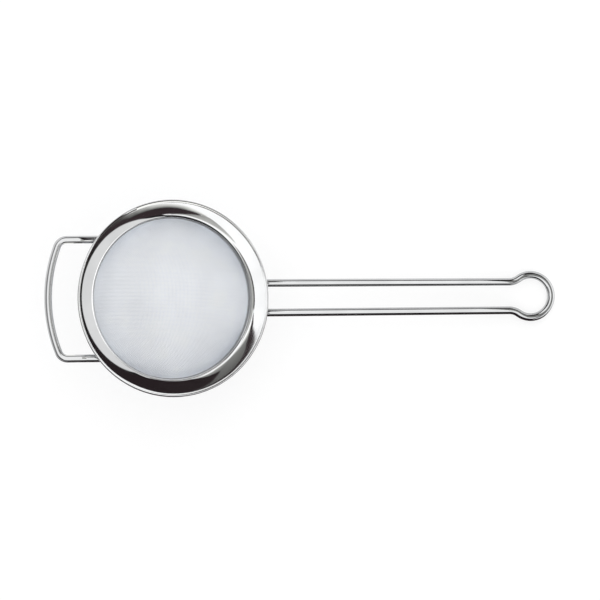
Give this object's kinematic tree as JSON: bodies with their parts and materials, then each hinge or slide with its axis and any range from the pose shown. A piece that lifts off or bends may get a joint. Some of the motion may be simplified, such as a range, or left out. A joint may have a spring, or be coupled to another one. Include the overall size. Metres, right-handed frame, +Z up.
{
  "type": "mesh strainer",
  "caption": "Round wire-mesh kitchen strainer with a flanged steel rim, a twin-wire handle that ends in a hanging loop, and a wire rest loop opposite it.",
  "frame": {"origin": "on the table, under the middle of the part's bounding box, as the strainer lies on its bowl and the end of its handle", "axes": "+X along the handle, from the rest loop to the hanging loop; +Z up from the table; +Y to the left of the handle"},
  "size_m": [0.3136, 0.12, 0.0707],
  "materials": {
    "rim_ring": "polished stainless steel",
    "clamp_ring": "satin stainless steel",
    "mesh_bowl": "woven stainless steel wire",
    "handle_wire": "polished stainless steel",
    "rest_loop": "polished stainless steel",
    "handle_weld_left": "weld metal",
    "handle_weld_right": "weld metal",
    "rest_weld_left": "weld metal",
    "rest_weld_right": "weld metal"
  },
  "bodies": {
    "root": {"rim_ring": "rim_ring", "clamp_ring": "clamp_ring", "mesh_bowl": "mesh_bowl", "handle_wire": "handle_wire", "rest_loop": "rest_loop", "handle_weld_left": "handle_weld_left", "handle_weld_right": "handle_weld_right", "rest_weld_left": "rest_weld_left", "rest_weld_right": "rest_weld_right"}
  },
  "joints": []
}
